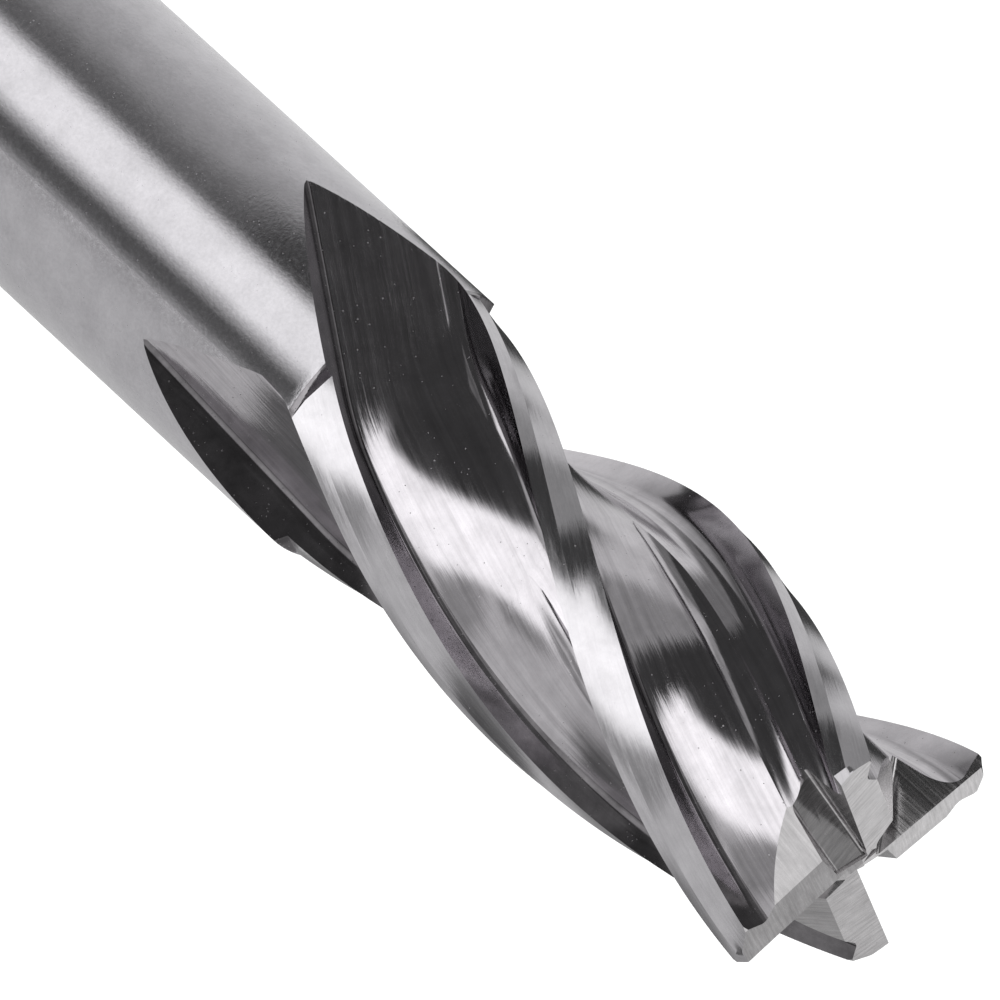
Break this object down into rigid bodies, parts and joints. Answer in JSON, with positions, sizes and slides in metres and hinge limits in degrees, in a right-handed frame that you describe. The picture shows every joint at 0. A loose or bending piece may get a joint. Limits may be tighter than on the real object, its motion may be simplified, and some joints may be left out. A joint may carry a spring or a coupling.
{
  "type": "end mill",
  "caption": "Solid square end mill: plain round shank, helical flutes that run out into it, relieved lands, and a gashed end that cuts to the middle.",
  "frame": {"origin": "middle of the shank's flat end face", "axes": "+Z along the tool's axis from the shank end to the cutting end; +X along the end cutting edge of one long tooth"},
  "size_m": [0.01, 0.01, 0.072],
  "materials": {
    "tool_steel": "ground satin, brighter in the flutes"
  },
  "bodies": {
    "root": {"end_mill": "tool_steel"}
  },
  "joints": []
}
